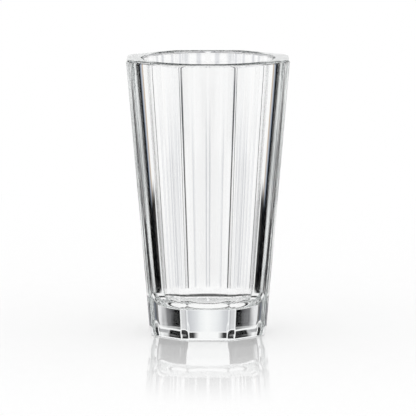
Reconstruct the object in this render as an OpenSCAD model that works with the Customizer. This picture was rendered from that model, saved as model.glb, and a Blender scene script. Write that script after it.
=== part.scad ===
// Faceted crystal tumbler: a straight tapered glass with flat facets cut down its outside,
// narrow lands left between them, a round drinking space and a thick, heavy base.
// Millimetres, +Z up. The origin is the centre of the face that it rests on.

/* [Overall] */
// Height from the resting face to the top of the lip
glass_h = 150; // [110:1:190]
// Width across two opposite facets at the lip
lip_across = 88.3; // [76:0.1:100]
// Width across two opposite facets at the foot, before the heel bevel
foot_across = 62.7; // [54:0.1:74]

/* [Facets] */
// Number of flat facets round the outside
facet_count = 8; // [6:1:12]
// Width of the narrow land between two facets, at the lip
land_w = 4; // [1:0.1:6]

/* [Wall and base] */
// Wall thickness at the middle of a facet, just below the lip
lip_wall = 8.8; // [6.5:0.1:11]
// Wall thickness at the middle of a facet, level with the inside floor
foot_wall = 8.1; // [6:0.1:12]
// Thickness of the solid base under the inside floor
base_thick = 15.5; // [10:0.5:32]
// Radius where the inside wall turns into the inside floor
floor_fillet = 9; // [3:0.5:12]

/* [Edges] */
// Radius that rounds the outer edge of the lip
lip_outer_r = 1.2; // [0.8:0.1:2.8]
// Radius that rounds the inner edge of the lip
lip_inner_r = 1.4; // [0.8:0.1:2.8]
// Height of the bevel round the heel
heel_h = 4.5; // [2:0.1:7]
// How far the bevel steps in from the facets at the resting face
heel_inset = 0.8; // [0.6:0.1:4]

/* [Hidden] */

// Steps round a full turn of the drinking space, when it is drawn as a mesh
$fn = 96;
// Steps in a quarter turn of a rounded edge
arc_steps = 10;
// Extra length by which a cut runs past the surface that it leaves
overrun = 1;

// Half widths across the facets, and how they change with height
lip_half = lip_across / 2;
foot_half = foot_across / 2;
taper = (lip_half - foot_half) / glass_h;
wall_lean = atan(taper);
function facet_half(z) = foot_half + taper * z;

// A land is a narrow flat that takes off the corner between two facets, in proportion to the
// half width across the facets at every height
facet_step = 360 / facet_count;
corner_r = lip_half / cos(facet_step / 2);
land_half = corner_r - land_w / 2 * tan(facet_step / 2);
land_share = land_half / lip_half;

// Polishing wears the corners most, so the lip and the heel bevel are larger on the lands
land_edge_share = 1.25;

// The drinking space is a round cone
cup_r_lip = lip_half - lip_wall;
cup_r_floor = facet_half(base_thick) - foot_wall;
cup_h = glass_h - base_thick;
cup_taper = (cup_r_lip - cup_r_floor) / cup_h;
cup_lean = atan(cup_taper);
function cup_r(z) = cup_r_floor + cup_taper * (z - base_thick);

// The centre of the floor fillet is at this height, which is also where the bowl meets the base
fillet_cz = base_thick + floor_fillet;

// Points of an arc, from one angle to another
function arc(cx, cz, r, from, to) = [
    for (i = [0 : arc_steps])
        let (a = from + (to - from) * i / arc_steps)
            [cx + r * cos(a), cz + r * sin(a)]
];

// Outline of the outside at one side of the axis: heel bevel, straight leaning wall, rounded lip.
// across_share moves it out from the facets to the lands, and edge_share enlarges its bevel and lip.
function outside_points(across_share, edge_share) =
    let (
        inset = heel_inset * edge_share,
        bevel_h = heel_h * edge_share,
        lip_r = lip_outer_r * edge_share,
        lip_cz = glass_h - lip_r,
        lip_cx = facet_half(lip_cz) * across_share - lip_r / cos(wall_lean)
    )
    concat(
        [
            [facet_half(0) * across_share - inset, 0],
            [facet_half(bevel_h) * across_share, bevel_h]
        ],
        arc(lip_cx, lip_cz, lip_r, -wall_lean, 90)
    );

// A block that is bounded by one flat and takes in everything on the axis side of it
module flat_block(across_share, edge_share) {
    reach = 2 * corner_r;
    outline = outside_points(across_share, edge_share);
    rotate([90, 0, 0])
        linear_extrude(height = 2 * reach, center = true)
            polygon(concat([[-reach, 0]], outline, [[-reach, glass_h]]));
}

// The outside of the whole glass, with nothing hollowed out
module solid_glass() {
    intersection_for (i = [0 : facet_count - 1])
        rotate([0, 0, i * facet_step - 90])
            intersection() {
                flat_block(1, 1);
                rotate([0, 0, facet_step / 2])
                    flat_block(land_share, land_edge_share);
            }
}

// The drinking space, from the inside floor up through the rounded inner edge of the lip
module cup_space() {
    fillet_cx = cup_r(fillet_cz) - floor_fillet / cos(cup_lean);
    edge_cz = glass_h - lip_inner_r;
    edge_cx = cup_r(edge_cz) + lip_inner_r / cos(cup_lean);
    rotate_extrude()
        polygon(concat(
            [[0, base_thick]],
            arc(fillet_cx, fillet_cz, floor_fillet, -90, -cup_lean),
            arc(edge_cx, edge_cz, lip_inner_r, 180 - cup_lean, 90),
            [[edge_cx, glass_h + overrun], [0, glass_h + overrun]]
        ));
}

// Everything between two heights, wide enough to hold the whole glass
module layer(from, to) {
    translate([0, 0, from])
        cylinder(h = to - from, r = corner_r + overrun);
}

// The whole glass, hollowed out
module hollow_glass() {
    difference() {
        solid_glass();
        cup_space();
    }
}

// The faceted wall round the drinking space, open at the lip
module bowl() {
    color([0.86, 0.9, 0.92, 0.45])
        intersection() {
            hollow_glass();
            layer(fillet_cz, glass_h + overrun);
        }
}

// The thick, heavy base, bevelled round the heel, with the rounded inside floor in its top
module base() {
    color([0.8, 0.85, 0.88, 0.6])
        intersection() {
            hollow_glass();
            layer(-overrun, fillet_cz);
        }
}

bowl();
base();
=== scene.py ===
"""Faceted crystal tumbler, standing on a pale glossy floor in a plain white studio."""

import math

import bpy
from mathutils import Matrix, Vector


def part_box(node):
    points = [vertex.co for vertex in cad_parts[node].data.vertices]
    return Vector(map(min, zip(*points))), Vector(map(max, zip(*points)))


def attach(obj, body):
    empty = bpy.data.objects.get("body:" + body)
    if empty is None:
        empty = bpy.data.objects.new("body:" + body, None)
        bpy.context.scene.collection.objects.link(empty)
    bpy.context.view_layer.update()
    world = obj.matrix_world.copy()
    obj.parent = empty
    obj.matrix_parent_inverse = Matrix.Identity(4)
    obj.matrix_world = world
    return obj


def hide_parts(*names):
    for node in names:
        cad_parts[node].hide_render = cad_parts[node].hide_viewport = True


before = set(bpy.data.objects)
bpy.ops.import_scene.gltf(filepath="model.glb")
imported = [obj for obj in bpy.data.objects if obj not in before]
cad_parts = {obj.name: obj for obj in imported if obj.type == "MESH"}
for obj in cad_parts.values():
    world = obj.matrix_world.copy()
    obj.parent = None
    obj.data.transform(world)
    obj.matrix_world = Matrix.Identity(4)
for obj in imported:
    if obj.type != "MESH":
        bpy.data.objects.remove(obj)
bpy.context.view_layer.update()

bl_info = {
    "name": "Faceted Crystal Tumbler",
    "version": (1, 0, 0),
    "blender": (4, 5, 0),
    "location": "View3D > Sidebar > Tumbler",
    "description": "Builds a faceted crystal tumbler and a white studio for it",
    "category": "Add Mesh",
}

MM = 0.001

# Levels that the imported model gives: its full height, and where the bowl meets the base, which is
# the top of the rounded corner of the inside floor
GLASS_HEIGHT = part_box("bowl")[1].z
FLOOR_CORNER_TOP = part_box("base")[1].z


def level_reaches(node, height):
    """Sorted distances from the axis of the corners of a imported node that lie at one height."""
    near = 0.02 * MM
    corners = (v.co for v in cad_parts[node].data.vertices if abs(v.co.z - height) < near)
    return sorted(math.hypot(co.x, co.y) for co in corners)


# The drinking space is narrowest, in the bowl, where the bowl meets the base
CUP_RADIUS_LOW = level_reaches("bowl", FLOOR_CORNER_TOP)[0]

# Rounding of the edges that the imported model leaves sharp
HEEL_SOFTNESS = 0.3 * MM
FOOT_EDGE_RADIUS = 0.5 * MM

# How far to either side of the edge of a land the polish is given columns, as a share of its depth,
# and the most of a land that it may take
POLISH_MARGIN = 1.2
LAND_POLISH_SHARE = 0.8

# Columns across one panel, and the shares of them where the facet ends and the land begins
PANEL_COLUMNS = 41
FACET_COLUMNS = 0.35
EDGE_COLUMNS = 0.8
WELD = 0.002 * MM

# Steps up the outside: round the foot's edge, over the heel, up the wall and over the lip
FOOT_STEPS, HEEL_STEPS, WALL_STEPS, LIP_STEPS = 8, 22, 24, 20
# Steps down the inside: over the lip, and round the corner of the floor
INNER_LIP_STEPS, CORNER_STEPS = 14, 20
# How far round the foot's edge is rounded, and how far above the heel its close rows go on
FOOT_TURN = math.radians(60)
HEEL_OVERRUN = 2 * MM
# Where the close rows of the lip begin below the top, in radii of its edge
LIP_REACH = 1.1
# Rings on the resting face and on the inside floor, as shares of their width
FOOT_RINGS = (0.3, 0.7, 0.97)
FLOOR_RINGS = (0.98, 0.8, 0.5, 0.2, 0)

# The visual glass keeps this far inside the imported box
BOX_MARGIN = 0.01 * MM

# The camera stands this far away, and looks at a point a little below the middle of the glass
CAMERA_DISTANCE = 2.6
CAMERA_ELEVATION = math.radians(7.3)
AIM_HEIGHT = 68 * MM
PICTURE_WIDTH = 225.9 * MM
SENSOR_WIDTH = 36

# Bounces that light needs to find its way through the thick base
GLASS_BOUNCES = 32
GLOSS_BOUNCES = 16


class TumblerSizes(bpy.types.PropertyGroup):
    """Sizes of the glass"""

    height: bpy.props.FloatProperty(
        name="Height", description="From the resting face to the top of the lip",
        default=GLASS_HEIGHT, unit="LENGTH")
    lip_across: bpy.props.FloatProperty(
        name="Lip", description="Width across two opposite facets, carried up to the top",
        default=88.3 * MM, unit="LENGTH")
    foot_across: bpy.props.FloatProperty(
        name="Foot", description="Width across two opposite facets, carried down to the foot",
        default=62.7 * MM, unit="LENGTH")
    facets: bpy.props.IntProperty(
        name="Facets", description="Number of flat facets round the outside", default=8, min=5)
    land_width: bpy.props.FloatProperty(
        name="Land", description="Width of the narrow land between two facets, at the lip",
        default=4 * MM, unit="LENGTH")
    edge_polish: bpy.props.FloatProperty(
        name="Edge polish", description="How deep polishing has rounded the edges of the lands",
        default=0.4 * MM, unit="LENGTH")
    lip_wall: bpy.props.FloatProperty(
        name="Lip wall", description="Thickness of the wall at the middle of a facet, at the lip",
        default=8.8 * MM, unit="LENGTH")
    floor_radius: bpy.props.FloatProperty(
        name="Floor corner", description="Radius where the inside wall turns into the floor",
        default=9 * MM, unit="LENGTH")
    lip_outer_radius: bpy.props.FloatProperty(
        name="Outer lip edge", description="Radius of the outer edge of the lip",
        default=1.2 * MM, unit="LENGTH")
    lip_inner_radius: bpy.props.FloatProperty(
        name="Inner lip edge", description="Radius of the inner edge of the lip",
        default=1.4 * MM, unit="LENGTH")
    heel_height: bpy.props.FloatProperty(
        name="Heel height", description="Height of the bevel round the heel",
        default=4.5 * MM, unit="LENGTH")
    heel_inset: bpy.props.FloatProperty(
        name="Heel inset", description="How far the bevel steps in at the resting face",
        default=0.8 * MM, unit="LENGTH")
    land_edge_share: bpy.props.FloatProperty(
        name="Land wear", description="How much larger the lip and heel edges are on the lands",
        default=1.25)


class TumblerColours(bpy.types.PropertyGroup):
    """Colours of the glass and the studio, as sRGB hex values"""

    crystal: bpy.props.StringProperty(
        name="Crystal", description="Tint of the polished surface", default="#FFFFFF")
    depth: bpy.props.StringProperty(
        name="Depth", description="Tint that light takes on through a thick part",
        default="#E9F1F0")
    floor: bpy.props.StringProperty(
        name="Floor", description="Glossy white acrylic under the glass", default="#FEFEFE")
    backdrop: bpy.props.StringProperty(
        name="Backdrop", description="Lit white paper round the table", default="#FFFFFF")


def linear(hex_colour):
    """The linear RGBA colour of an sRGB hex value such as #E9F1F0."""
    parts = [int(hex_colour[i:i + 2], 16) / 255 for i in (1, 3, 5)]
    curve = [c / 12.92 if c <= 0.04045 else ((c + 0.055) / 1.055) ** 2.4 for c in parts]
    return (*curve, 1.0)


def add_node(tree, kind, sockets=None, **settings):
    """Adds a node with its settings. sockets maps inputs to values or to other nodes' outputs."""
    node = tree.nodes.new(kind)
    node.location = (180 * len(tree.nodes), 0)
    for name, value in settings.items():
        setattr(node, name, value)
    for key, value in (sockets or {}).items():
        if isinstance(value, bpy.types.NodeSocket):
            tree.links.new(value, node.inputs[key])
        else:
            node.inputs[key].default_value = value
    return node


# The outline of the glass, from the middle of the resting face round to the middle of the floor

def soft_min(a, b, depth):
    """The smaller of two values, with their meeting rounded off to a sixth of depth."""
    near = max(depth - abs(a - b), 0) / depth
    return min(a, b) - near ** 3 * depth / 6


def outside_reach(size, z, across_share, edge_share):
    """Distance from the axis to a facet, or to a land, at one height."""
    foot_half = size.foot_across / 2
    taper = (size.lip_across / 2 - foot_half) / size.height
    lip_r = size.lip_outer_radius * edge_share
    lip_cz = size.height - lip_r
    lean = math.atan(taper)
    if z >= lip_cz - lip_r * math.sin(lean):
        lip_cx = (foot_half + taper * lip_cz) * across_share - lip_r / math.cos(lean)
        return lip_cx + math.sqrt(max(lip_r ** 2 - (z - lip_cz) ** 2, 0))
    wall = (foot_half + taper * z) * across_share
    bevel_h = size.heel_height * edge_share
    bevel_top = (foot_half + taper * bevel_h) * across_share
    bevel_foot = foot_half * across_share - size.heel_inset * edge_share
    bevel = bevel_foot + (bevel_top - bevel_foot) * z / bevel_h
    return soft_min(wall, bevel, HEEL_SOFTNESS)


def cup_line(size):
    """Radius of the drinking space at the floor's corner, and how much it widens per metre."""
    cup_lip = size.lip_across / 2 - size.lip_wall
    widen = (cup_lip - CUP_RADIUS_LOW) / (size.height - FLOOR_CORNER_TOP)
    return CUP_RADIUS_LOW, widen


def spread(start, end, steps):
    """Evenly spaced values from start to end, both included."""
    return [start + (end - start) * i / steps for i in range(steps + 1)]


def land_share(size):
    """Distance of a land from the axis, as a share of the distance of a facet."""
    half_step = math.pi / size.facets
    corner = size.lip_across / 2 / math.cos(half_step)
    return (corner - size.land_width / 2 * math.tan(half_step)) / (size.lip_across / 2)


def outside_rows(size):
    """Rows up the outside: (facet reach, height, land reach as a share, roundness)."""
    lip_r = size.lip_outer_radius * size.land_edge_share
    quarter = math.pi / 2
    heel = size.heel_height * size.land_edge_share + HEEL_OVERRUN
    foot_turn = spread(0, FOOT_TURN, FOOT_STEPS)
    levels = [FOOT_EDGE_RADIUS * (1 - math.cos(a)) for a in foot_turn]
    levels += spread(FOOT_EDGE_RADIUS, heel, HEEL_STEPS)
    levels += spread(heel, size.height - lip_r * LIP_REACH, WALL_STEPS)[1:]
    levels += [size.height - lip_r * (1 - math.sin(a)) for a in spread(0, quarter, LIP_STEPS)]
    across_share = land_share(size)
    rows = []
    for z in levels:
        facet = outside_reach(size, z, 1, 1) - BOX_MARGIN
        land = outside_reach(size, z, across_share, size.land_edge_share) - BOX_MARGIN
        rounding = max(FOOT_EDGE_RADIUS - z, 0)
        foot_round = FOOT_EDGE_RADIUS - math.sqrt(FOOT_EDGE_RADIUS ** 2 - rounding ** 2)
        rows.append((facet - foot_round, z, (land - foot_round) / (facet - foot_round), 0))
    foot = rows[0]
    middle = [(foot[0] * share, 0, foot[2], 0) for share in FOOT_RINGS]
    return [(0, 0, foot[2], 1)] + middle + rows


def inside_rows(size):
    """Rows down the inside, from the lip to the middle of the floor, all round."""
    low, widen = cup_line(size)
    lean = math.atan(widen)
    share = land_share(size)
    lip_r = size.lip_inner_radius
    lip_cz = size.height - lip_r
    lip_cx = low + widen * (lip_cz - FLOOR_CORNER_TOP) + lip_r / math.cos(lean)
    rows = []
    for a in spread(math.pi / 2, math.pi - lean, INNER_LIP_STEPS):
        rows.append((lip_cx + lip_r * math.cos(a), lip_cz + lip_r * math.sin(a)))
    for z in spread(rows[-1][1], FLOOR_CORNER_TOP, WALL_STEPS)[1:-1]:
        rows.append((low + widen * (z - FLOOR_CORNER_TOP), z))
    corner_r = size.floor_radius
    corner_cx = low - corner_r / math.cos(lean)
    for a in spread(-lean, -math.pi / 2, CORNER_STEPS):
        rows.append((corner_cx + corner_r * math.cos(a), FLOOR_CORNER_TOP + corner_r * math.sin(a)))
    floor = rows[-1]
    for part in FLOOR_RINGS:
        rows.append((floor[0] * part, floor[1]))
    return [(r, z, share, 1) for r, z in rows]


def outline_mesh(size):
    """The outline as a mesh of loose corners. Geometry nodes turn it into the glass."""
    rows = outside_rows(size) + inside_rows(size)
    mesh = bpy.data.meshes.new("tumbler_outline")
    mesh.from_pydata([(r, 0, z) for r, z, _, _ in rows], [], [])
    for name, column in (("land_share", 2), ("roundness", 3)):
        attribute = mesh.attributes.new(name, "FLOAT", "POINT")
        attribute.data.foreach_set("value", [float(row[column]) for row in rows])
    return mesh


def panel_tree():
    """Geometry nodes that sweep the outline over one panel, a facet with half a land on either
    side, and set as many panels round the axis as the glass has facets."""
    tree = bpy.data.node_groups.new("cut_panels", "GeometryNodeTree")
    face = tree.interface
    face.new_socket("Geometry", in_out="INPUT", socket_type="NodeSocketGeometry")
    for name, kind in (("Facets", "Int"), ("Edge polish", "Float"), ("Columns", "Int"),
                       ("Material", "Material")):
        face.new_socket(name, in_out="INPUT", socket_type="NodeSocket" + kind)
    face.new_socket("Geometry", in_out="OUTPUT", socket_type="NodeSocketGeometry")
    given = add_node(tree, "NodeGroupInput").outputs

    def calc(operation, *values):
        sockets = dict(enumerate(values))
        return add_node(tree, "ShaderNodeMath", sockets, operation=operation).outputs[0]

    count = add_node(tree, "GeometryNodeAttributeDomainSize", {"Geometry": given["Geometry"]})
    rows = count.outputs["Point Count"]
    grid = add_node(tree, "GeometryNodeMeshGrid", {
        "Size X": 2.0, "Size Y": 1.0, "Vertices X": given["Columns"], "Vertices Y": rows})
    place = add_node(tree, "ShaderNodeSeparateXYZ", {
        0: add_node(tree, "GeometryNodeInputPosition").outputs[0]}).outputs
    last_row = calc("SUBTRACT", rows, 1.0)
    row = calc("ROUND", calc("MULTIPLY", calc("ADD", place["Y"], 0.5), last_row))

    def from_outline(kind, value):
        return add_node(tree, "GeometryNodeSampleIndex", {
            "Geometry": given["Geometry"], "Value": value, "Index": row},
            data_type=kind, domain="POINT").outputs[0]

    outline_point = add_node(tree, "GeometryNodeInputPosition").outputs[0]
    point = add_node(tree, "ShaderNodeSeparateXYZ", {
        0: from_outline("FLOAT_VECTOR", outline_point)}).outputs
    named = {name: add_node(tree, "GeometryNodeInputNamedAttribute", {"Name": name}).outputs[0]
             for name in ("land_share", "roundness")}
    share = from_outline("FLOAT", named["land_share"])
    roundness = from_outline("FLOAT", named["roundness"])

    # The angle from the middle of the facet to its edge, and from there to the middle of the land
    half_step = calc("DIVIDE", math.pi, given["Facets"])
    rise = calc("SUBTRACT", share, calc("COSINE", half_step))
    edge = calc("ARCTANGENT", calc("DIVIDE", rise, calc("SINE", half_step)))
    land = calc("SUBTRACT", half_step, edge)
    # The columns crowd together over the polished edge, this far to either side of it
    reach = calc("MAXIMUM", calc("MULTIPLY", point["X"], calc("SINE", half_step)), 1e-6)
    polished = calc("DIVIDE", calc("MULTIPLY", given["Edge polish"], POLISH_MARGIN), reach)
    polished = calc("MINIMUM", polished, calc("MULTIPLY", land, LAND_POLISH_SHARE))
    across = calc("ABSOLUTE", place["X"])
    parts = ((0.0, FACET_COLUMNS, calc("SUBTRACT", edge, polished)),
             (FACET_COLUMNS, EDGE_COLUMNS, calc("MULTIPLY", polished, 2.0)),
             (EDGE_COLUMNS, 1.0, calc("SUBTRACT", land, polished)))
    angle = None
    for start, end, width in parts:
        part = add_node(tree, "ShaderNodeMapRange", {
            "Value": across, "From Min": start, "From Max": end, "To Max": width}).outputs[0]
        angle = part if angle is None else calc("ADD", angle, part)

    facet_side = calc("DIVIDE", point["X"], calc("COSINE", angle))
    land_side = calc("DIVIDE", calc("MULTIPLY", point["X"], share),
                     calc("COSINE", calc("SUBTRACT", half_step, angle)))
    flat_sided = calc("SMOOTH_MIN", facet_side, land_side, given["Edge polish"])
    radius = add_node(tree, "ShaderNodeMix", {
        "Factor": roundness, "A": flat_sided, "B": point["X"]}).outputs[0]
    turned = calc("MULTIPLY", angle, calc("SIGN", place["X"]))
    place_at = add_node(tree, "ShaderNodeCombineXYZ", {
        "X": calc("MULTIPLY", radius, calc("SINE", turned)),
        "Y": calc("MULTIPLY", radius, calc("MULTIPLY", calc("COSINE", turned), -1.0)),
        "Z": point["Z"]}).outputs[0]
    panel = add_node(tree, "GeometryNodeSetPosition", {
        "Geometry": grid.outputs["Mesh"], "Position": place_at})

    axis = add_node(tree, "GeometryNodePoints", {"Count": given["Facets"]})
    turn = calc("MULTIPLY", calc("MULTIPLY", half_step, 2.0),
                add_node(tree, "GeometryNodeInputIndex").outputs[0])
    around = add_node(tree, "ShaderNodeCombineXYZ", {"Z": turn}).outputs[0]
    panels = add_node(tree, "GeometryNodeInstanceOnPoints", {
        "Points": axis.outputs[0], "Instance": panel.outputs[0], "Rotation": around})
    real = add_node(tree, "GeometryNodeRealizeInstances", {"Geometry": panels.outputs[0]})
    welded = add_node(tree, "GeometryNodeMergeByDistance", {
        "Geometry": real.outputs[0], "Distance": WELD})
    smooth = add_node(tree, "GeometryNodeSetShadeSmooth", {"Geometry": welded.outputs[0]})
    finished = add_node(tree, "GeometryNodeSetMaterial", {
        "Geometry": smooth.outputs[0], "Material": given["Material"]})
    add_node(tree, "NodeGroupOutput", {"Geometry": finished.outputs[0]})
    return tree


# How strongly crystal bends light
CRYSTAL_IOR = 1.52

# Fire polish leaves the surface bright but faintly wavy: the waves are this far apart across and
# up the glass, and this high from their hollows to their tops
WAVE_ACROSS = 9 * MM
WAVE_UP = 60 * MM
WAVE_HEIGHT = 0.045 * MM

# The resting face is scuffed up to this height, by grit of this size
SCUFF_HEIGHT = 0.12 * MM
SCUFF_GRAIN = 0.8 * MM
SCUFF_ROUGHNESS = 0.3

# Share of the depth tint that is missing, times this, is lost in each metre of crystal
DEPTH_DENSITY = 3.0


def crystal_material(colours):
    """Lead-free crystal, pressed, cut and fire-polished: water-clear, with the strong bending of
    light that draws dark and white lines along every edge, faint waves, and a scuffed foot."""
    material = bpy.data.materials.new("fire_polished_crystal")
    material.use_nodes = True
    tree = material.node_tree
    tree.nodes.clear()
    place = add_node(tree, "ShaderNodeTexCoord").outputs["Object"]
    along = add_node(tree, "ShaderNodeMapping", {
        "Vector": place, "Scale": (1 / WAVE_ACROSS, 1 / WAVE_ACROSS, 1 / WAVE_UP)})
    waves = add_node(tree, "ShaderNodeTexNoise", {
        "Vector": along.outputs[0], "Scale": 1.0, "Detail": 1.0, "Roughness": 0.4})
    bump = add_node(tree, "ShaderNodeBump", {
        "Height": waves.outputs["Fac"], "Strength": 1.0, "Distance": WAVE_HEIGHT})
    grit = add_node(tree, "ShaderNodeTexNoise", {
        "Vector": place, "Scale": 1 / SCUFF_GRAIN, "Detail": 2.0})
    height = add_node(tree, "ShaderNodeSeparateXYZ", {0: place}).outputs["Z"]
    scuffed = add_node(tree, "ShaderNodeMapRange", {
        "Value": height, "From Min": SCUFF_HEIGHT, "From Max": 0.0, "To Max": SCUFF_ROUGHNESS})
    roughness = add_node(tree, "ShaderNodeMath", {
        0: scuffed.outputs[0], 1: grit.outputs["Fac"]}, operation="MULTIPLY")
    surface = add_node(tree, "ShaderNodeBsdfPrincipled", {
        "Base Color": linear(colours.crystal), "Roughness": roughness.outputs[0],
        "IOR": CRYSTAL_IOR, "Transmission Weight": 1.0, "Normal": bump.outputs[0]})
    depth = add_node(tree, "ShaderNodeVolumeAbsorption", {
        "Color": linear(colours.depth), "Density": DEPTH_DENSITY})
    add_node(tree, "ShaderNodeOutputMaterial", {
        "Surface": surface.outputs[0], "Volume": depth.outputs[0]})
    return material


def build_glass(size, colours):
    """The whole glass as one closed mesh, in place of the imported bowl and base."""
    material = crystal_material(colours)
    source = bpy.data.objects.new("tumbler_outline", outline_mesh(size))
    bpy.context.scene.collection.objects.link(source)
    modifier = source.modifiers.new("cut_panels", "NODES")
    modifier.node_group = panel_tree()
    values = {"Facets": size.facets, "Edge polish": size.edge_polish, "Columns": PANEL_COLUMNS,
              "Material": material}
    for item in modifier.node_group.interface.items_tree:
        if item.in_out == "INPUT" and item.name in values:
            modifier[item.identifier] = values[item.name]
    seen = source.evaluated_get(bpy.context.evaluated_depsgraph_get())
    mesh = bpy.data.meshes.new_from_object(seen)
    mesh.name = "tumbler_glass"
    mesh.materials.clear()
    mesh.materials.append(material)
    mesh.polygons.foreach_set("material_index", [0] * len(mesh.polygons))
    bpy.data.objects.remove(source)
    glass = bpy.data.objects.new("tumbler_glass", mesh)
    bpy.context.scene.collection.objects.link(glass)
    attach(glass, "root")
    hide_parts("bowl", "base")
    return glass


# The floor is a round table top. Its polish is seen near the glass and gone further out.
FLOOR_RADIUS = 3.0
FLOOR_SIDES = 96
ACRYLIC_IOR = 1.49
POLISH_FULL = 70 * MM
POLISH_GONE = 250 * MM
FLOOR_ROUGHNESS = 0.03
# From here to there the floor turns into the lit white paper round it
PAPER_FROM = 0.25
PAPER_FULL = 0.6


def floor_material(colours):
    """Cast white acrylic, polished: matt white underneath a clear gloss that mirrors the foot."""
    material = bpy.data.materials.new("polished_white_acrylic")
    material.use_nodes = True
    tree = material.node_tree
    tree.nodes.clear()
    place = add_node(tree, "ShaderNodeTexCoord").outputs["Object"]
    away = add_node(tree, "ShaderNodeVectorMath", {0: place}, operation="LENGTH").outputs["Value"]
    polish = add_node(tree, "ShaderNodeMapRange", {
        "Value": away, "From Min": POLISH_GONE, "From Max": POLISH_FULL},
        interpolation_type="SMOOTHSTEP")
    mirrored = add_node(tree, "ShaderNodeFresnel", {"IOR": ACRYLIC_IOR})
    gloss_share = add_node(tree, "ShaderNodeMath", {
        0: polish.outputs[0], 1: mirrored.outputs[0]}, operation="MULTIPLY")
    white = add_node(tree, "ShaderNodeBsdfDiffuse", {"Color": linear(colours.floor)})
    gloss = add_node(tree, "ShaderNodeBsdfGlossy", {
        "Color": linear(colours.floor), "Roughness": FLOOR_ROUGHNESS})
    acrylic = add_node(tree, "ShaderNodeMixShader", {
        0: gloss_share.outputs[0], 1: white.outputs[0], 2: gloss.outputs[0]})
    paper = add_node(tree, "ShaderNodeEmission", {"Color": linear(colours.backdrop)})
    paper_share = add_node(tree, "ShaderNodeMapRange", {
        "Value": away, "From Min": PAPER_FROM, "From Max": PAPER_FULL},
        interpolation_type="SMOOTHSTEP")
    surface = add_node(tree, "ShaderNodeMixShader", {
        0: paper_share.outputs[0], 1: acrylic.outputs[0], 2: paper.outputs[0]})
    add_node(tree, "ShaderNodeOutputMaterial", {"Surface": surface.outputs[0]})
    return material


def build_floor(colours):
    """The round table top. Light that leaves the glass passes through it to the studio beyond."""
    corners = [(FLOOR_RADIUS * math.cos(a), FLOOR_RADIUS * math.sin(a), 0)
               for a in spread(0, math.tau, FLOOR_SIDES)[:-1]]
    mesh = bpy.data.meshes.new("studio_floor")
    mesh.from_pydata(corners, [], [range(len(corners))])
    mesh.materials.append(floor_material(colours))
    floor = bpy.data.objects.new("studio_floor", mesh)
    bpy.context.scene.collection.objects.link(floor)
    floor.visible_transmission = False
    floor.visible_glossy = False


# Light Path counts how often a ray has passed through a surface, been mirrored or been scattered.
# Over the first value it has done so at all. Over the second it has passed through the walls on
# both sides of the drinking space, and not only through the solid base.
AT_ALL = 0.5
BOTH_WALLS = 2.5

# Level of the white room as the light on matt things, where the lamps add the rest
ROOM_LIGHT = 0.99
# The ceiling is unlit. Reflections see it from so many degrees above eye level. A beam under it,
# given as (from, to, softness) in degrees, is seen in the rounded corner of the inside floor.
CEILING_COLOUR = "#262729"
CEILING_LEVEL = (25, 40)
BEAM_LEVEL = (50, 66, 3)

# A round white wall stands close about the glass. Only the glass sees it, and the cards on it draw
# the lines along the edges of the glass. Heights are in millimetres from the table top. Sides are
# in degrees round the wall from straight behind.
WALL_RADIUS = 350
WALL_FOOT = -300
WALL_TOP = 500
WALL_SIDES = 192
# Each set of cards is folded back on itself at every so many degrees, so that the glass shows
# nearly the same lines from its other sides
BASE_FOLD = 45.0
TURNED_FOLD = 90.0
LIP_FOLD = 22.5
# What the solid base shows, as (degrees from the nearest middle, colour)
BASE_WALL = ((0, "#FFFFFF"), (0.8, "#F4F5F6"), (1.4, "#DADBDE"), (2.0, "#C4C5C9"), (2.7, "#ACADB2"),
             (5, "#C8C8CA"), (22.4, "#FFFFFF"), (23.3, "#EDEDEE"), (23.7, "#7C7C7E"),
             (24.3, "#6A6A6C"), (24.6, "#060607"), (26.6, "#060607"), (27.6, "#D0D0D2"),
             (29, "#D8D8DA"), (31, "#3A3A3C"), (40.5, "#2E2E30"), (42.3, "#6E6E70"),
             (44.2, "#8A8B8E"))
# Cards, as (from side, to side, softness, from height, to height, softness, colour). Later ones
# lie over earlier ones. These are seen through the base, over what the ramp gives.
BASE_CARDS = ((-9, 31, 1, 19, 600, 2, "#FFFFFF"), (1.2, 15, 0.3, 27, 48, 2, "#020203"),
              (24.2, 28, 0.3, 30, 60, 3, "#020203"), (22, 24.2, 0.3, 34, 56, 4, "#B0B0B2"),
              (31, 99, 1, 34, 600, 4, "#FFFFFF"), (-9, 99, 1, 70, 600, 5, "#FFFFFF"),
              (3.6, 6, 0.8, 72, 600, 9, "#E2E3E6"), (10, 13, 1, 72, 600, 9, "#E6E7E9"))
# Seen through the wall of the drinking space
CUP_CARDS = ((1.4, 4, 1.2, -60, 75, 25, "#DCDDE0"), (22.7, 26.8, 0.6, -60, 110, 15, "#6A6A6E"),
             (23.6, 26.1, 0.6, -60, 95, 15, "#2A2A2C"), (29, 37, 3, -60, 20, 10, "#DEDEE0"),
             (-9, 99, 1, -999, -180, 15, "#060607"))
# Seen by light that has turned round inside the glass. The amber and blue at the edges of two cards
# are painted light: painted colour fringes that stand in for the colours that crystal spreads out
# of white light there.
TURNED_CARDS = ((-9, 64, 3, -15, 108, 8, "#BFC0C4"), (59, 64, 1.5, -15, 108, 8, "#C8AE90"),
                (-9, 51, 2, -60, 110, 6, "#8496B0"), (-9, 47.5, 4, -60, 110, 6, "#050506"),
                (-9, 74, 3, -60, 16, 8, "#040405"), (-9, 30, 4, 90, 165, 12, "#050506"),
                (73, 99, 3, 108, 162, 8, "#303032"), (30, 60, 2, 240, 600, 6, "#303032"),
                (-9, 2.8, 0.6, 34, 134, 4, "#FFFFFF"), (-9, 2.8, 0.6, -300, -8, 6, "#FFFFFF"),
                (22, 23.4, 0.4, 34, 134, 4, "#FFFFFF"),
                (-9, 99, 1, -999, -180, 15, "#060607"))
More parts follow.
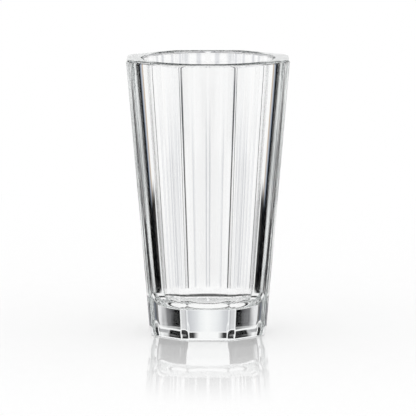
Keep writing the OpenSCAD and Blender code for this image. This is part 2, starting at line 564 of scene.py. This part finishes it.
# The outside mirrors the unlit ceiling over the top of the lit wall, which is lower within so many
# degrees of the middle of each facet, and the grey foot of the wall
LIT_TOP = (187, 192)
LIT_TOP_LOW = (162, 170)
LIT_TOP_SIDE = (4.8, 5.8)
LIT_FOOT = (-120, -30)
MIRRORED_LOW = "#6C6C6E"
# Black cards at either side are mirrored in the facets that turn away from the camera, which keeps
# the dark lines in them black. The lower one is wider, for the solid base.
SIDE_CARDS = ((87.2, 92.8, 0.5, -57, 600, 4, "#0A0A0B"), (80, 100, 2, -400, -57, 4, "#0A0A0B"))


def shader_maths(tree):
    """Small helpers that add nodes to one shader tree: calc, mix, rise and within."""
    def calc(operation, *values):
        sockets = dict(enumerate(values))
        return add_node(tree, "ShaderNodeMath", sockets, operation=operation).outputs[0]

    def mix(factor, a, b):
        return add_node(tree, "ShaderNodeMix", {0: factor, 6: a, 7: b}, data_type="RGBA").outputs[2]

    def rise(value, span):
        return add_node(tree, "ShaderNodeMapRange", {
            "Value": value, "From Min": span[0], "From Max": span[1]},
            interpolation_type="SMOOTHSTEP").outputs[0]

    def within(value, low, high, soft):
        above = rise(value, (low - soft, low + soft))
        return calc("MULTIPLY", above, rise(value, (high + soft, high - soft)))

    return calc, mix, rise, within


def colour_ramp(tree, value, stops, end):
    """A ramp whose stops are given as (place from 0 to end, sRGB hex colour)."""
    share = add_node(tree, "ShaderNodeMath", {0: value, 1: end}, operation="DIVIDE").outputs[0]
    ramp = add_node(tree, "ShaderNodeValToRGB", {0: share})
    elements = ramp.color_ramp.elements
    while len(elements) < len(stops):
        elements.new(1.0)
    for element, (place, colour) in zip(elements, stops):
        element.position = place / end
        element.color = linear(colour)
    return ramp.outputs["Color"]


def build_world(colours):
    """The white room: plain white to the eye, with an unlit ceiling that reflections see."""
    world = bpy.data.worlds.new("white_studio")
    bpy.context.scene.world = world
    world.use_nodes = True
    tree = world.node_tree
    tree.nodes.clear()
    calc, mix, rise, within = shader_maths(tree)
    path = add_node(tree, "ShaderNodeLightPath").outputs
    away = add_node(tree, "ShaderNodeSeparateXYZ", {
        0: add_node(tree, "ShaderNodeTexCoord").outputs["Generated"]}).outputs
    level = calc("MULTIPLY", calc("ARCSINE", away["Z"]), math.degrees(1))
    white = linear(colours.backdrop)
    room = tuple(ROOM_LIGHT * part for part in white[:3]) + (1.0,)
    inside = calc("GREATER_THAN", path["Transmission Depth"], AT_ALL)
    above = add_node(tree, "ShaderNodeMix", {
        0: inside, 2: rise(level, CEILING_LEVEL), 3: within(level, *BEAM_LEVEL)}).outputs[0]
    reflected = calc("SUBTRACT", path["Is Glossy Ray"], path["Is Transmission Ray"])
    ceiling = calc("MULTIPLY", above, calc("MAXIMUM", reflected, 0.0))
    studio = mix(ceiling, white, linear(CEILING_COLOUR))
    sharp = calc("MAXIMUM", path["Is Camera Ray"], calc(
        "MAXIMUM", path["Is Glossy Ray"], path["Is Transmission Ray"]))
    sharp = calc("MULTIPLY", sharp, calc("LESS_THAN", path["Diffuse Depth"], AT_ALL))
    add_node(tree, "ShaderNodeOutputWorld", {"Surface": add_node(
        tree, "ShaderNodeBackground", {"Color": mix(sharp, room, studio)}).outputs[0]})


def wall_material(colours):
    """Lit white paper with matt black card on it, which gives crystal its dark and bright lines."""
    material = bpy.data.materials.new("lit_paper_and_black_card")
    material.use_nodes = True
    tree = material.node_tree
    tree.nodes.clear()
    calc, mix, rise, within = shader_maths(tree)
    path = add_node(tree, "ShaderNodeLightPath").outputs
    place = add_node(tree, "ShaderNodeSeparateXYZ", {
        0: add_node(tree, "ShaderNodeTexCoord").outputs["Object"]}).outputs
    height = calc("DIVIDE", place["Z"], MM)
    turn = calc("MULTIPLY", calc("ABSOLUTE", calc("ARCTAN2", place["X"], place["Y"])),
                math.degrees(1))
    white = linear(colours.backdrop)

    def cards_over(colour, side, cards):
        for left, right, edge, foot, top, fade, card in cards:
            across = within(side, left, right, edge)
            there = calc("MULTIPLY", across, within(height, foot, top, fade))
            colour = mix(there, colour, linear(card))
        return colour

    side = calc("PINGPONG", turn, BASE_FOLD)
    base = cards_over(colour_ramp(tree, side, BASE_WALL, BASE_FOLD), side, BASE_CARDS)
    cup = cards_over(white, side, CUP_CARDS)
    through = mix(calc("GREATER_THAN", path["Transmission Depth"], BOTH_WALLS), base, cup)
    turned = cards_over(white, calc("PINGPONG", turn, TURNED_FOLD), TURNED_CARDS)
    refracted = mix(calc("GREATER_THAN", path["Glossy Depth"], AT_ALL), through, turned)

    outside = mix(rise(height, LIT_FOOT), linear(MIRRORED_LOW), white)
    outside = cards_over(outside, turn, SIDE_CARDS)
    dip = rise(calc("PINGPONG", turn, LIP_FOLD), LIT_TOP_SIDE)
    over = add_node(tree, "ShaderNodeMix", {
        0: dip, 2: rise(height, LIT_TOP_LOW), 3: rise(height, LIT_TOP)}).outputs[0]
    outside = mix(over, outside, linear(CEILING_COLOUR))
    reflected = mix(calc("GREATER_THAN", path["Transmission Depth"], AT_ALL), outside, white)
    seen = mix(path["Is Transmission Ray"], reflected, refracted)
    seen = mix(calc("GREATER_THAN", path["Diffuse Depth"], AT_ALL), seen, white)
    paper = add_node(tree, "ShaderNodeEmission", {"Color": seen})
    add_node(tree, "ShaderNodeOutputMaterial", {"Surface": paper.outputs[0]})
    material.cycles.emission_sampling = "NONE"
    return material


def build_wall(colours):
    """The round wall, which neither the camera nor the light on the table sees."""
    turns = spread(0, math.tau, WALL_SIDES)[:-1]
    ring = [(math.sin(a) * WALL_RADIUS * MM, math.cos(a) * WALL_RADIUS * MM) for a in turns]
    corners = [(x, y, z * MM) for z in (WALL_FOOT, WALL_TOP) for x, y in ring]
    count = len(ring)
    faces = [(i, (i + 1) % count, (i + 1) % count + count, i + count) for i in range(count)]
    mesh = bpy.data.meshes.new("studio_wall")
    mesh.from_pydata(corners, [], faces)
    mesh.materials.append(wall_material(colours))
    wall = bpy.data.objects.new("studio_wall", mesh)
    bpy.context.scene.collection.objects.link(wall)
    wall.visible_camera = False
    wall.visible_diffuse = False
    wall.visible_shadow = False


# Two soft boxes above the table, and the light that each gives in watts
LAMP_SIZE = 1.2
LAMP_PLACES = ((-1.1, -0.9, 1.6), (1.1, -0.5, 1.6))
LAMP_POWER = 0.6


def build_lamps():
    """Soft boxes that light the floor and lay the soft shadow of the glass on it."""
    for number, place in enumerate(LAMP_PLACES):
        data = bpy.data.lights.new(f"soft_box_{number}", "AREA")
        data.shape = "SQUARE"
        data.size = LAMP_SIZE
        data.energy = LAMP_POWER
        lamp = bpy.data.objects.new(data.name, data)
        bpy.context.scene.collection.objects.link(lamp)
        lamp.location = place
        lamp.rotation_euler = Vector(place).to_track_quat("Z", "Y").to_euler()
        lamp.visible_glossy = False
        lamp.visible_transmission = False


def build_camera():
    """The camera at the photograph's angle: long lens, a little above the lip."""
    data = bpy.data.cameras.new("camera")
    data.sensor_width = SENSOR_WIDTH
    data.lens = SENSOR_WIDTH * CAMERA_DISTANCE / PICTURE_WIDTH
    camera = bpy.data.objects.new("camera", data)
    bpy.context.scene.collection.objects.link(camera)
    back = Vector((0, -math.cos(CAMERA_ELEVATION), math.sin(CAMERA_ELEVATION)))
    camera.location = Vector((0, 0, AIM_HEIGHT)) + back * CAMERA_DISTANCE
    camera.rotation_mode = "QUATERNION"
    camera.rotation_quaternion = back.to_track_quat("Z", "Y")
    bpy.context.scene.camera = camera


class TUMBLER_OT_glass(bpy.types.Operator):
    """Build the crystal tumbler"""

    bl_idname = "tumbler.glass"
    bl_label = "Crystal tumbler"

    def execute(self, context):
        build_glass(context.scene.tumbler_sizes, context.scene.tumbler_colours)
        return {"FINISHED"}


class TUMBLER_OT_stage(bpy.types.Operator):
    """Build the floor, the white studio, its lamps and the camera"""

    bl_idname = "tumbler.stage"
    bl_label = "White studio"

    def execute(self, context):
        scene = context.scene
        build_floor(scene.tumbler_colours)
        build_wall(scene.tumbler_colours)
        build_world(scene.tumbler_colours)
        build_lamps()
        build_camera()
        scene.view_settings.view_transform = "Standard"
        scene.cycles.max_bounces = GLASS_BOUNCES
        scene.cycles.transmission_bounces = GLASS_BOUNCES
        scene.cycles.glossy_bounces = GLOSS_BOUNCES
        return {"FINISHED"}


class TUMBLER_PT_panel(bpy.types.Panel):
    """Lists what can be built"""

    bl_label = "Crystal tumbler"
    bl_idname = "TUMBLER_PT_panel"
    bl_space_type = "VIEW_3D"
    bl_region_type = "UI"
    bl_category = "Tumbler"

    def draw(self, context):
        for group in (context.scene.tumbler_sizes, context.scene.tumbler_colours):
            for name in group.__annotations__:
                self.layout.prop(group, name)
        for operator in (TUMBLER_OT_glass, TUMBLER_OT_stage):
            self.layout.operator(operator.bl_idname)


CLASSES = (TumblerSizes, TumblerColours, TUMBLER_OT_glass, TUMBLER_OT_stage, TUMBLER_PT_panel)


def register():
    for listed in CLASSES:
        bpy.utils.register_class(listed)
    bpy.types.Scene.tumbler_sizes = bpy.props.PointerProperty(type=TumblerSizes)
    bpy.types.Scene.tumbler_colours = bpy.props.PointerProperty(type=TumblerColours)


def unregister():
    del bpy.types.Scene.tumbler_colours
    del bpy.types.Scene.tumbler_sizes
    for listed in reversed(CLASSES):
        bpy.utils.unregister_class(listed)


def main():
    """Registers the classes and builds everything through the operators."""
    register()
    bpy.ops.tumbler.glass()
    bpy.ops.tumbler.stage()


if __name__ == "__main__":
    main()
